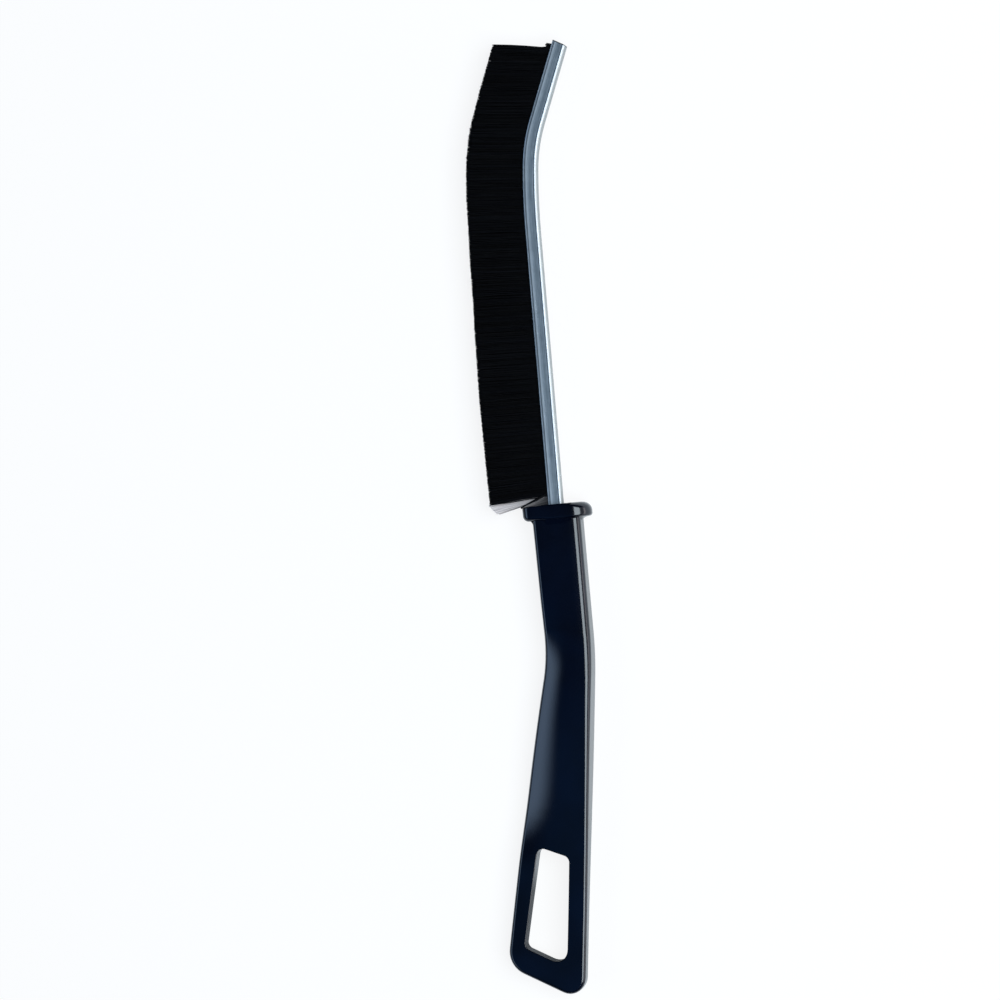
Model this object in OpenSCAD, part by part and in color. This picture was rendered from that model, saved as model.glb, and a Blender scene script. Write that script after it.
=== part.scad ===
// Grout brush lying on its side: bristles point to -X, the toe to +Y, one side of the handle up.
// The origin is below the middle of the whole brush, on the surface that it lies on.
// The brush is drawn about its root point, where the strip's back leaves the collar, then moved.

/* [Handle] */
// Length of the handle from the collar's face to its lowest point
handle_len = 128.2; // [115:0.5:145]
// Width of the neck just below the collar
neck_w = 12.7; // [12:0.1:13.5]
// Thickness of the neck
neck_t = 8; // [7.6:0.1:9]
// How far the neck's middle lies behind the strip's middle
neck_offset = 0.15; // [0:0.1:0.8]
// Distance from the collar's face to the bend of the handle
waist_at = 38.8; // [34:0.5:48]
// Width of the handle at its bend
waist_w = 12.1; // [11:0.1:13]
// How far the spine's bend lies behind the strip's back
spine_bulge = 8.3; // [7.8:0.1:9.4]
// Lean of the spine below its bend
spine_lean = 1.25; // [0:0.05:2.5]
// Width of the handle across its lower end
end_w = 21; // [19:0.1:23]
// Slope of the lower end
end_slope = 23.6; // [15:0.1:30]
// Corner radius of the lower end, bristle side
heel_corner_r = 6.4; // [5.4:0.1:7.5]
// Corner radius of the lower end, spine side
tail_corner_r = 4.2; // [3.6:0.1:5]
// How far the front edge bows out between the handle's bend and its lower end
front_bow = 0.4; // [0:0.05:0.8]
// Thickness of the grip where it is fattest
grip_t = 9.2; // [8.4:0.1:9.8]
// Distance from the collar's face to the fattest place of the grip
grip_at = 53.5; // [46:0.5:62]
// Thickness of the flat lower end
end_t = 5; // [4.4:0.1:6]
// Distance from the collar's face to where the flat lower end begins
flat_at = 111.5; // [100:0.5:118]
// Edge radius along the spine
spine_round = 1.9; // [1.2:0.1:2.1]
// Width of the oval rounding along the front of the grip
front_round = 5; // [3:0.1:5.4]

/* [Hang slot] */
// Length of the hang slot along its spine side
slot_len = 29; // [22:0.5:33]
// Rim between the slot and the spine
slot_back_rim = 4.9; // [3.6:0.1:5.5]
// Rim between the slot and the front edge
slot_front_rim = 4.3; // [3.4:0.1:5.2]
// Rim between the slot and the lower end
slot_end_rim = 6.5; // [5:0.1:8]
// Slope of the slot's upper end
slot_top_slope = 17.5; // [10:0.5:24]
// Radius of three of the slot's corners
slot_r = 1.8; // [1.2:0.1:2.4]
// Radius of the slot's lowest corner
slot_tail_r = 3.2; // [1.8:0.1:3.6]

/* [Collar] */
// Width of the collar
collar_w = 18.3; // [16.5:0.1:19.5]
// Thickness of the collar
collar_t = 10; // [10:0.1:11.5]
// Length of the collar along the neck
collar_len = 3.1; // [2.2:0.1:3.6]
// Radius of the collar's four outer corners
collar_r = 4; // [3:0.1:4.6]
// Edge rounding of the collar's faces
collar_edge = 0.9; // [0.4:0.1:1]
// Flare between the neck and the collar
flare = 1.2; // [0.6:0.1:1.8]

/* [Strip] */
// Outer width of the metal channel
channel_w = 5; // [4.4:0.1:5.4]
// Height of the channel's sides
channel_h = 3.3; // [3:0.05:3.6]
// Thickness of the channel's sheet
sheet = 0.5; // [0.4:0.05:0.6]
// Outer corner radius of the channel
channel_r = 0.9; // [0.7:0.05:1.1]
// Length of the channel's tang inside the handle
tang_len = 18; // [12:0.5:24]
// Clearance all round the tang in its socket
socket_gap = 0.05; // [0.03:0.01:0.15]
// Lean of the strip and the neck away from the long axis
lean = 4.9; // [3.5:0.1:6]
// Length of the straight stretch above the collar
straight_len = 73.1; // [60:0.5:85]
// Radius of the first, wide bend
wide_r = 190; // [150:5:230]
// Turn of the wide bend
wide_turn = 4.9; // [3:0.1:6.5]
// Radius of the second, tight bend
tight_r = 42; // [34:1:60]
// Turn of the tight bend
tight_turn = 16.5; // [12:0.1:20]
// Length of the straight toe
toe_len = 21.4; // [16:0.2:28]
// How far the toe's cut runs out of square
toe_cut = 7; // [0:0.5:9]

/* [Core] */
// Diameter of the core wire
wire_d = 1.6; // [1.3:0.05:1.7]
// Thickness of the folded filaments between the wire and the channel's back
fold_t = 0.35; // [0.3:0.05:0.4]
// Play between packed pieces
play = 0.04; // [0.02:0.01:0.06]
// How far the wire stops short of the toe
wire_short = 1.2; // [0.8:0.1:2]

/* [Bristles] */
// Reach of the bristles from the channel's sides to the tips
reach = 15.6; // [12:0.1:19]
// Depth of the bristles' roots below the channel's edge
root_depth = 0.3; // [0.2:0.05:0.35]
// Distance from the collar to the first straight bristles
heel_gap = 1.9; // [1.7:0.05:2.4]
// Bristles stop this short of the toe
toe_gap = 1.0; // [0.5:0.1:2]
// Angle of the bristles at the heel, below square to the long axis
heel_slant = 5.6; // [4.6:0.1:6.5]
// Angle of the bristles at the toe, below square to the long axis
toe_slant = -3; // [-4:0.5:3]
// Extra slant of the splayed bristles next to the collar
splay = 4.5; // [2:0.1:5]
// Distance from the collar to the splayed bristles
splay_gap = 0.9; // [0.8:0.05:1.1]
// Rows of splayed bristles
splay_rows = 2; // [1:1:3]
// Distance from one row of bristles to the next along the strip
pitch = 1.15; // [1.1:0.05:1.6]
// Thickness of the whole pack at the tips
tip_spread = 7; // [5:0.1:8.5]
// Height of the slow waves along the tips
tip_wave = 0.2; // [0:0.05:0.5]
// Length of one slow wave along the tips
wave_len = 16; // [8:0.5:30]

/* [Hidden] */

navy = [0.03, 0.05, 0.10];
zinc = [0.50, 0.55, 0.60];
steel = [0.55, 0.55, 0.56];
black = [0.02, 0.02, 0.025];
grey = [0.45, 0.44, 0.47];

// Small steps that curves are drawn with
round_fn = 48;
round_steps = 4;
wire_sides = 12;
wide_steps = 4;
tight_steps = 8;
corner_steps = 8;
neck_steps = 4;
grip_steps = 12;
edge_steps = 4;
// How far a cut runs past the face that it opens
cut_past = 2;

// Directions in the plane of the brush: a heading of 0 points along +Y, and 90 along +X
function ahead(h) = [sin(h), cos(h)];
function right(h) = [cos(h), -sin(h)];
function arc_len(r, turn) = r * turn * PI / 180;
function arc_turn(r, len) = len / r * 180 / PI;
function ease(a, b, t) = a + (b - a) * (1 - cos(180 * min(1, max(0, t)))) / 2;

// The strip's line is the outer face of the channel's back, measured by s from the collar's face
wide_from = straight_len;
tight_from = wide_from + arc_len(wide_r, wide_turn);
toe_from = tight_from + arc_len(tight_r, tight_turn);
toe_end = toe_from + toe_len;
mid_heading = wide_turn - lean;
toe_heading = mid_heading + tight_turn;
wide_start = straight_len * ahead(-lean);
wide_centre = wide_start + wide_r * right(-lean);
tight_start = wide_centre - wide_r * right(mid_heading);
tight_centre = tight_start + tight_r * right(mid_heading);
toe_start = tight_centre - tight_r * right(toe_heading);

function heading(s) =
    s <= wide_from ? -lean
    : s <= tight_from ? -lean + arc_turn(wide_r, s - wide_from)
    : s <= toe_from ? mid_heading + arc_turn(tight_r, s - tight_from)
    : toe_heading;
function back_point(s) =
    s <= wide_from ? s * ahead(-lean)
    : s <= tight_from ? wide_centre - wide_r * right(heading(s))
    : s <= toe_from ? tight_centre - tight_r * right(heading(s))
    : toe_start + (s - toe_from) * ahead(toe_heading);
// Point at depth u from the channel's back towards the bristles
function strip_point(s, u) = back_point(s) - u * right(heading(s));

// Depths inside the channel, measured from its back
inner_w = channel_w - 2 * sheet;
wire_u = sheet + fold_t + wire_d / 2 + play;
fold_top = wire_u + wire_d / 2 + play;
root_u = channel_h - root_depth;
root_w = inner_w - 2 * play;

// Outline of the handle: corners of the front and back edges, rounded by arcs
neck_mid = neck_offset - channel_h / 2;
neck_top = -collar_len / 2 * ahead(-lean);
neck_front = neck_top + (neck_mid - neck_w / 2) * right(-lean);
neck_back = neck_top + (neck_mid + neck_w / 2) * right(-lean);
waist_back = [spine_bulge, -waist_at];
waist_front = [spine_bulge - waist_w, -waist_at];
tail_y = -handle_len - tail_corner_r * (tan(45 + end_slope / 2) - 1);
function spine_x(y) = spine_bulge + tan(spine_lean) * (y + waist_at);
tail_corner = [spine_x(tail_y), tail_y];
heel_corner = [spine_x(tail_y) - end_w, tail_y + end_w * tan(end_slope)];
tail_middle = (heel_corner + 2 * tail_corner) / 3;
waist_front_r = 55;
waist_back_r = 110;
// The front rounding's height over its width, and the least flat left between two roundings
front_oval = 0.8;
edge_flat = 0.3;

function unit(v) = v / norm(v);
function along(a, b, n) = [for (i = [0 : n - 1]) a + (b - a) * i / n];
// Arc of radius r that rounds the corner b between the points a and c
function corner_arc(a, b, c, r) =
    let (
        d1 = unit(b - a),
        d2 = unit(c - b),
        turn = acos(d1 * d2),
        side = sign(d1[0] * d2[1] - d1[1] * d2[0]),
        start = b - d1 * r * tan(turn / 2),
        centre = start + side * r * [-d1[1], d1[0]],
        first = atan2(start[1] - centre[1], start[0] - centre[0])
    )
    [for (i = [0 : corner_steps])
        let (at = first + side * turn * i / corner_steps)
        centre + r * [cos(at), sin(at)]];
// One edge of the handle from the neck round two corners to the middle of the lower end
function edge_line(top, bend, bend_r, corner, corner_r, bottom, bow) =
    let (
        bend_arc = corner_arc(top, bend, corner, bend_r),
        end_arc = corner_arc(bend, corner, bottom, corner_r),
        a = bend_arc[corner_steps],
        b = end_arc[0]
    )
    concat(
        along(top, bend_arc[0], neck_steps),
        bend_arc,
        [for (i = [1 : grip_steps - 1]) let (t = i / grip_steps)
            a + (b - a) * t + [-4 * bow * t * (1 - t), 0]],
        end_arc,
        [(end_arc[corner_steps] + bottom) / 2]
    );
front_edge = edge_line(neck_front, waist_front, waist_front_r, heel_corner, heel_corner_r,
    tail_middle, front_bow);
back_edge = edge_line(neck_back, waist_back, waist_back_r, tail_corner, tail_corner_r, tail_middle, 0);
rungs = len(front_edge);

// The whole outline runs down the front edge, round the lower end and up the back edge
outline = concat(front_edge, [tail_middle], [for (i = [rungs - 1 : -1 : 0]) back_edge[i]]);
outline_last = len(outline) - 1;
function inward(i) =
    let (
        ahead_of = outline[min(i + 1, outline_last)],
        behind = outline[max(i - 1, 0)],
        d = unit(ahead_of - behind)
    )
    [-d[1], d[0]];

// Thickness and rounding change down the handle, y from the collar's face
function half_t(y) =
    (-y < grip_at ? ease(neck_t, grip_t, -y / grip_at)
        : ease(grip_t, end_t, (-y - grip_at) / (flat_at - grip_at))) / 2;
function front_w(y) =
    -y < grip_at ? ease(spine_round, front_round, (-y - waist_at / 2) / (grip_at - waist_at / 2))
        : ease(front_round, spine_round, (-y - grip_at) / (flat_at - grip_at));
function is_front(i) = i < rungs;
function round_w(i) = is_front(i) ? front_w(outline[i][1]) : spine_round;
function round_h(i) =
    min(half_t(outline[i][1]) - edge_flat, (is_front(i) ? front_oval : 1) * round_w(i));

// Rows of the skin climb from the lower face round the edge to the upper face
skin_rows = 2 * edge_steps + 1;
function skin_point(i, row) =
    let (
        up = row > edge_steps,
        a = 90 * (up ? row - edge_steps - 1 : edge_steps - row) / edge_steps,
        shift = round_w(i) * (1 - cos(a)),
        height = half_t(outline[i][1]) - round_h(i) * (1 - sin(a)),
        p = outline[i] + inward(i) * shift
    )
    [p[0], p[1], up ? height : -height];

mid_z = collar_t / 2;

// Corners of the hang slot, each on two lines parallel to the edges around it
function shifted(a, b, d) = let (n = unit(b - a)) [a + d * [-n[1], n[0]], b + d * [-n[1], n[0]]];
function cross_point(l, m) =
    let (
        r = l[1] - l[0],
        q = m[1] - m[0],
        t = ((m[0][0] - l[0][0]) * q[1] - (m[0][1] - l[0][1]) * q[0]) / (r[0] * q[1] - r[1] * q[0])
    )
    l[0] + t * r;
slot_front = shifted(waist_front, heel_corner, slot_front_rim);
slot_back = shifted(waist_back, tail_corner, -slot_back_rim);
slot_bottom = shifted(heel_corner, tail_corner, slot_end_rim);
slot_low_back = cross_point(slot_back, slot_bottom);
slot_low_front = cross_point(slot_front, slot_bottom);
slot_top_back = slot_low_back + slot_len * [tan(spine_lean), 1];
slot_top = [slot_top_back, slot_top_back - [cos(slot_top_slope), -sin(slot_top_slope)]];
slot_top_front = cross_point(slot_front, slot_top);
slot_corners = [slot_low_front, slot_low_back, slot_top_back, slot_top_front];
function slot_corner_r(i) = i == 1 ? slot_tail_r : slot_r;
// The two points where the slot corner's arc meets the sides, and the arc's middle
function slot_turn(i) =
    let (
        r = slot_corner_r(i),
        b = slot_corners[i],
        d1 = unit(b - slot_corners[(i + 3) % 4]),
        d2 = unit(slot_corners[(i + 1) % 4] - b),
        t = r * tan(acos(d1 * d2) / 2)
    )
    [b - d1 * t, b + d2 * t, b - d1 * t + r * [-d1[1], d1[0]]];

// Extremes of the brush, which place the origin
toe_tip_u = channel_h * tan(toe_cut);
back_reach = max(max([for (p = back_edge) p[0]]), ((neck_mid + collar_w / 2) * right(-lean))[0]);
front_reach = min([for (s = [straight_len / 2 : 2 : toe_from]) tip_point(s, 0)[0]]);
toe_reach = strip_point(toe_end, channel_h)[1] + toe_tip_u * cos(toe_heading);
tail_reach = min([for (p = outline) p[1]]);
origin = -[(back_reach + front_reach) / 2, (toe_reach + tail_reach) / 2];

// Slant of the bristles, below square to the long axis, and where a tip lies
function slant(s) = heel_slant + (toe_slant - heel_slant) * s / toe_end;
function strand(s, extra) =
    let (a = slant(s) + extra)
    (reach + root_depth + tip_wave * sin(360 * s / wave_len)) * [-cos(a), -sin(a)];
function tip_point(s, extra) = strip_point(s, root_u) + strand(s, extra);

// Outlines of the strip's pieces across its length: depth from the back, then height.
// Each has as many points on its inner half as on its outer half, so that its ends close as a ladder.
function arc_points(centre, r, from, to, steps) =
    [for (i = [0 : steps]) let (a = from + (to - from) * i / steps) centre + r * [cos(a), sin(a)]];
function u_outline(top, half_outer, outer_r, half_inner, bottom) = concat(
    [[top, -half_outer]],
    arc_points([channel_r, channel_r - channel_w / 2], outer_r, 270, 180, round_steps),
    arc_points([channel_r, channel_w / 2 - channel_r], outer_r, 180, 90, round_steps),
    [[top, half_outer], [top, half_inner]],
    bottom,
    [[top, -half_inner]]
);
channel_outline = u_outline(channel_h, channel_w / 2, channel_r, inner_w / 2, concat(
    arc_points([channel_r, channel_w / 2 - channel_r], channel_r - sheet, 90, 180, round_steps),
    arc_points([channel_r, channel_r - channel_w / 2], channel_r - sheet, 180, 270, round_steps)
));
wire_half = 180 / wire_sides;
wire_outline = arc_points([wire_u, 0], wire_d / 2, 360 - wire_half, wire_half, wire_sides - 1);
fold_outline = u_outline(fold_top, root_w / 2, channel_r - sheet - play, wire_d / 2 + play,
    arc_points([wire_u, 0], wire_d / 2 + play, 90, 270, 2 * round_steps + 1));

// Places along the strip where its pieces have a ring of points
function strip_stops(last) = concat(
    [-tang_len],
    [for (i = [0 : wide_steps]) wide_from + (tight_from - wide_from) * i / wide_steps],
    [for (i = [1 : tight_steps]) tight_from + (toe_from - tight_from) * i / tight_steps],
    [last]
);

// An outline run along the strip, its last end cut out of square by the angle given
module run(shape, last, cut) {
    stops = strip_stops(last);
    n = len(shape);
    rings = len(stops);
    from = (rings - 1) * n;
    polyhedron(
        points = [for (k = [0 : rings - 1]) for (q = shape)
            let (
                extra = k == rings - 1 ? q[0] * tan(cut) : 0,
                p = strip_point(stops[k] + extra, q[0])
            )
            [p[0], p[1], q[1]]],
        faces = concat(
            [for (i = [0 : n / 2 - 2])
                each [[i, n - 1 - i, n - 2 - i], [i, n - 2 - i, i + 1]]],
            [for (k = [0 : rings - 2]) for (i = [0 : n - 1])
                let (j = (i + 1) % n)
                each [[k * n + i, k * n + j, (k + 1) * n + j],
                    [k * n + i, (k + 1) * n + j, (k + 1) * n + i]]],
            [for (i = [0 : n / 2 - 2])
                each [[from + i, from + n - 2 - i, from + n - 1 - i],
                    [from + i, from + i + 1, from + n - 2 - i]]]
        )
    );
}

module place() {
    translate([origin[0], origin[1], mid_z]) children();
}

// The handle's skin: rows by columns of points, closed by two faces and the neck's end
module handle_body() {
    columns = len(outline);
    points = [for (row = [0 : skin_rows]) for (i = [0 : outline_last]) skin_point(i, row)];
    function at(row, i) = row * columns + i;
    polyhedron(
        points = points,
        faces = concat(
            [for (row = [0 : skin_rows - 1]) for (i = [0 : outline_last - 1])
                each [[at(row, i), at(row + 1, i), at(row + 1, i + 1)],
                    [at(row, i), at(row + 1, i + 1), at(row, i + 1)]]],
            [for (row = [0 : skin_rows - 1])
                each [[at(row, 0), at(row, outline_last), at(row + 1, outline_last)],
                    [at(row, 0), at(row + 1, outline_last), at(row + 1, 0)]]],
            [for (i = [0 : rungs - 2])
                each [[at(0, i), at(0, i + 1), at(0, outline_last - i - 1)],
                    [at(0, i), at(0, outline_last - i - 1), at(0, outline_last - i)],
                    [at(skin_rows, i), at(skin_rows, outline_last - i - 1), at(skin_rows, i + 1)],
                    [at(skin_rows, i), at(skin_rows, outline_last - i),
                        at(skin_rows, outline_last - i - 1)]]],
            [[at(0, rungs - 1), at(0, rungs), at(0, rungs + 1)],
                [at(skin_rows, rungs - 1), at(skin_rows, rungs + 1), at(skin_rows, rungs)]]
        )
    );
}

// The collar's skin: rounded rings square to the neck, the lowest one just inside the neck
collar_arc = 6;
neck_bite = 0.3;
function ring(w, t, r, q) = [for (quarter = [0 : 3]) for (i = [0 : collar_arc])
    let (
        a = 90 * quarter + 90 * i / collar_arc,
        cx = (quarter == 0 || quarter == 3 ? 1 : -1) * (w / 2 - r),
        cz = (quarter < 2 ? 1 : -1) * (t / 2 - r)
    )
    [cx + r * cos(a), q, -cz - r * sin(a)]];
// A ring between the neck, at f = 0, and the collar's underside, at f = 1
function flare_ring(f) = ring(
    neck_w - 2 * neck_bite + f * (collar_w - 2 * collar_edge - neck_w + 2 * neck_bite),
    neck_t - 2 * neck_bite + f * (collar_t - 2 * collar_edge - neck_t + 2 * neck_bite),
    spine_round + f * (collar_r - collar_edge - spine_round),
    -collar_len - flare * (1 - f) * (1 - f));
function edge_ring(inset, q) = ring(collar_w - 2 * inset, collar_t - 2 * inset, collar_r - inset, q);
collar_rings = concat(
    [for (i = [0 : 3]) flare_ring(i / 3)],
    [for (i = [1 : 3])
        edge_ring(collar_edge * (1 - sin(30 * i)), -collar_len + collar_edge * (1 - cos(30 * i)))],
    [for (i = [0 : 3]) edge_ring(collar_edge * (1 - cos(30 * i)), -collar_edge * (1 - sin(30 * i)))]
);

module collar() {
    n = 4 * (collar_arc + 1);
    rows = len(collar_rings);
    translate([neck_mid * cos(lean), neck_mid * sin(lean), 0])
        rotate([0, 0, lean])
            polyhedron(
                points = [for (r = collar_rings) for (p = r) p],
                faces = concat(
                    [[for (i = [0 : n - 1]) i]],
                    [for (row = [0 : rows - 2]) for (i = [0 : n - 1])
                        each [[row * n + i, (row + 1) * n + i, (row + 1) * n + (i + 1) % n],
                            [row * n + i, (row + 1) * n + (i + 1) % n, row * n + (i + 1) % n]]],
                    [[for (i = [n - 1 : -1 : 0]) (rows - 1) * n + i]]
                )
            );
}

module hang_slot() {
    turns = [for (i = [0 : 3]) slot_turn(i)];
    translate([0, 0, -mid_z - cut_past]) {
        linear_extrude(collar_t + 2 * cut_past)
            polygon([for (t = turns) each [t[0], t[1]]]);
        for (i = [0 : 3])
            translate([turns[i][2][0], turns[i][2][1], 0])
                cylinder(r = slot_corner_r(i), h = collar_t + 2 * cut_past, $fn = round_fn);
    }
}

module socket() {
    rotate([90, 0, 180 + lean])
        translate([-socket_gap, -channel_w / 2 - socket_gap, -tang_len - socket_gap])
            linear_extrude(tang_len + cut_past)
                square([channel_h + 2 * socket_gap, channel_w + 2 * socket_gap]);
}

module handle() {
    color(navy)
        place()
            difference() {
                union() {
                    handle_body();
                    collar();
                }
                socket();
                hang_slot();
            }
}

module channel() {
    color(zinc)
        place()
            run(channel_outline, toe_end, toe_cut);
}

module core_wire() {
    color(steel)
        place()
            run(wire_outline, toe_end - wire_short, 0);
}

module filament_folds() {
    color(black)
        place()
            run(fold_outline, toe_end - toe_gap, 0);
}

// A stretch of bristles from s = first to s = last, as one closed skin: a slab of roots in the
// channel whose upper face is a grid of cells, where every second cell of every second row
// is drawn out into a strand
strand_rows = 4;
cell_rows = 2 * strand_rows - 1;
slab_bottom = fold_top + play;
module bristles(first, last, count, extra, tone) {
    columns = 2 * count;
    function s_at(i) = first + (last - first) * i / columns;
    function z_at(j) = root_w * (0.5 - j / cell_rows);
    function extra_at(i) = extra * (1 - i / columns);
    function is_strand(i, j) = j % 2 == 0 && (i + j / 2) % 2 == 0;
    function grid(i, j) = i * (cell_rows + 1) + j;
    low_from = (columns + 1) * (cell_rows + 1);
    function low(i, side) = low_from + 2 * i + side;
    tip_from = low_from + 2 * (columns + 1);
    function tip(i, j, k) = tip_from + 4 * (floor(i / 2) * strand_rows + j / 2) + k;
    function tip_corner(i, j, k) =
        let (
            di = k == 1 || k == 2 ? 1 : 0,
            dj = k > 1 ? 1 : 0,
            root = strip_point(s_at(i + di), root_u),
            mid_cell = z_at(j + 0.5),
            p = root + strand(s_at(i + 0.5), extra_at(i + 0.5))
        )
        [p[0], p[1], mid_cell * tip_spread / root_w + z_at(j + dj) - mid_cell];
    points = concat(
        [for (i = [0 : columns]) for (j = [0 : cell_rows])
            let (p = strip_point(s_at(i), root_u)) [p[0], p[1], z_at(j)]],
        [for (i = [0 : columns]) for (side = [0, 1])
            let (p = strip_point(s_at(i), slab_bottom)) [p[0], p[1], z_at(side * cell_rows)]],
        [for (c = [0 : count - 1]) for (row = [0 : strand_rows - 1]) for (k = [0 : 3])
            tip_corner(2 * c + row % 2, 2 * row, k)]
    );
    cells = [for (i = [0 : columns - 1]) for (j = [0 : cell_rows - 1])
        let (c = [grid(i, j), grid(i + 1, j), grid(i + 1, j + 1), grid(i, j + 1)])
        each is_strand(i, j)
            ? concat(
                [for (k = [0 : 3]) let (n = (k + 1) % 4)
                    each [[c[k], tip(i, j, n), c[n]], [c[k], tip(i, j, k), tip(i, j, n)]]],
                [[tip(i, j, 0), tip(i, j, 2), tip(i, j, 1)], [tip(i, j, 0), tip(i, j, 3), tip(i, j, 2)]])
            : [[c[0], c[2], c[1]], [c[0], c[3], c[2]]]];
    long_sides = [for (i = [0 : columns - 1])
        each [[grid(i, 0), grid(i + 1, 0), low(i + 1, 0)],
            [grid(i, 0), low(i + 1, 0), low(i, 0)],
            [grid(i, cell_rows), low(i + 1, 1), grid(i + 1, cell_rows)],
            [grid(i, cell_rows), low(i, 1), low(i + 1, 1)],
            [low(i, 0), low(i + 1, 0), low(i + 1, 1)],
            [low(i, 0), low(i + 1, 1), low(i, 1)]]];
    end_faces = [for (i = [0, columns])
        let (fan = concat(
            [for (j = [0 : cell_rows - 1]) [low(i, 0), grid(i, j + 1), grid(i, j)]],
            [[low(i, 0), low(i, 1), grid(i, cell_rows)]]))
        each i == 0 ? fan : [for (f = fan) [f[0], f[2], f[1]]]];
    color(tone)
        place()
            polyhedron(points = points, faces = concat(cells, long_sides, end_faces));
}

// Places where one stretch of bristles ends and the next begins
pack_from = heel_gap;
third = (wide_from - pack_from) / 3;
pack_to = toe_end - toe_gap;

module straight_bristles(first, last) {
    bristles(first, last, round((last - first) / pitch), 0, black);
}

module splayed_filaments() {
    bristles(splay_gap, pack_from, splay_rows, splay, grey);
}

module bristles_heel() {
    straight_bristles(pack_from, pack_from + third);
}

module bristles_lower() {
    straight_bristles(pack_from + third, pack_from + 2 * third);
}

module bristles_middle() {
    straight_bristles(pack_from + 2 * third, wide_from);
}

module bristles_upper() {
    straight_bristles(wide_from, tight_from);
}

module bristles_bend() {
    straight_bristles(tight_from, toe_from);
}

module bristles_toe() {
    straight_bristles(toe_from, pack_to);
}

handle();
channel();
core_wire();
filament_folds();
splayed_filaments();
bristles_heel();
bristles_lower();
bristles_middle();
bristles_upper();
bristles_bend();
bristles_toe();
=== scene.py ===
import math

import bmesh
import bpy
import numpy as np
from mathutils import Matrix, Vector


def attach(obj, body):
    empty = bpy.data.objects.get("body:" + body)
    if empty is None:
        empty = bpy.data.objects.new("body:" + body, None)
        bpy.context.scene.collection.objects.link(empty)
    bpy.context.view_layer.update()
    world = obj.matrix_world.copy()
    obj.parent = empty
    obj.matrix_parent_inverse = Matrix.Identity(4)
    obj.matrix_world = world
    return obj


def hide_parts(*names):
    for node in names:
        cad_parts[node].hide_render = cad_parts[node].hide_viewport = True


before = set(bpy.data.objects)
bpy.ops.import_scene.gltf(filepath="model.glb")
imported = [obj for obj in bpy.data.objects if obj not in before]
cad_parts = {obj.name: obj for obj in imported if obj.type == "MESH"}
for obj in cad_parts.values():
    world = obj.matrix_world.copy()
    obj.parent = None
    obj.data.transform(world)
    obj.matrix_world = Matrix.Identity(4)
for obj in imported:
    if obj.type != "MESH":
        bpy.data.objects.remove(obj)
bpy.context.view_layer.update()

# The brush lies on its side: +Y runs to the toe, +X to the back of the metal strip, +Z is up.
# Shapes are drawn in millimetres from the root point, where the strip's back meets the collar.
rootPoint = np.array((8.8899, 2.70605, 5.0))
rng = np.random.default_rng(7)
touch, hair = 0.05, 0.01  # how near, in millimetres, counts as the same place and the same level


def spot(x, y, z=0.0):
    # a drawn point as a place in the scene, in metres
    return Vector(((rootPoint[0] + x) / 1000, (rootPoint[1] + y) / 1000, (rootPoint[2] + z) / 1000))


def drawn(place):
    # a place in the scene as a drawn point
    return np.array(place) * 1000 - rootPoint


def size(*values):
    return tuple(v / 1000 for v in values)


def flat(direction):
    # a drawn direction in the plane of the brush as a vector
    return Vector((direction[0], direction[1], 0))


def ahead(degrees):
    return np.array((math.sin(math.radians(degrees)), math.cos(math.radians(degrees))))


def rightOf(degrees):
    return np.array((math.cos(math.radians(degrees)), -math.sin(math.radians(degrees))))


def unit(v):
    return v / np.linalg.norm(v)


def ease(a, b, t):
    t = min(1, max(0, t))
    return a + (b - a) * (1 - math.cos(math.pi * t)) / 2


# the line of the metal strip: straight from the collar, a wide bend, a tight bend and a straight toe
strip = {
    "width": 5.0, "height": 3.3, "sheet": 0.5, "cornerRadius": 0.35, "edgeRounding": 0.08,
    "lean": 4.9, "tang": 18.0, "straight": 73.1, "wideRadius": 190.0, "wideTurn": 4.9,
    "tightRadius": 42.0, "tightTurn": 16.5, "toe": 21.15, "toeCut": 8.0,
}
lean = strip["lean"]
wideFrom = strip["straight"]
tightFrom = wideFrom + strip["wideRadius"] * math.radians(strip["wideTurn"])
toeFrom = tightFrom + strip["tightRadius"] * math.radians(strip["tightTurn"])
toeEnd = toeFrom + strip["toe"]
midHeading = strip["wideTurn"] - lean
toeHeading = midHeading + strip["tightTurn"]
wideCentre = wideFrom * ahead(-lean) + strip["wideRadius"] * rightOf(-lean)
tightCentre = wideCentre - (strip["wideRadius"] - strip["tightRadius"]) * rightOf(midHeading)
toeStart = tightCentre - strip["tightRadius"] * rightOf(toeHeading)


def stripPlace(s, u):
    # the drawn point at s along the strip's back and u from the back towards the bristles
    s, u = np.broadcast_arrays(np.asarray(s, float), np.asarray(u, float))
    onWide, onTight, onToe = s > wideFrom, s > tightFrom, s > toeFrom
    heading = np.where(onWide, -lean + np.degrees((s - wideFrom) / strip["wideRadius"]), -lean)
    heading = np.where(onTight, midHeading + np.degrees((s - tightFrom) / strip["tightRadius"]), heading)
    heading = np.radians(np.where(onToe, toeHeading, heading))
    side = np.stack((np.cos(heading), -np.sin(heading)), -1)
    back = s[..., None] * ahead(-lean)
    back = np.where(onWide[..., None], wideCentre - strip["wideRadius"] * side, back)
    back = np.where(onTight[..., None], tightCentre - strip["tightRadius"] * side, back)
    back = np.where(onToe[..., None], toeStart + (s - toeFrom)[..., None] * ahead(toeHeading), back)
    return back - u[..., None] * side


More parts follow.
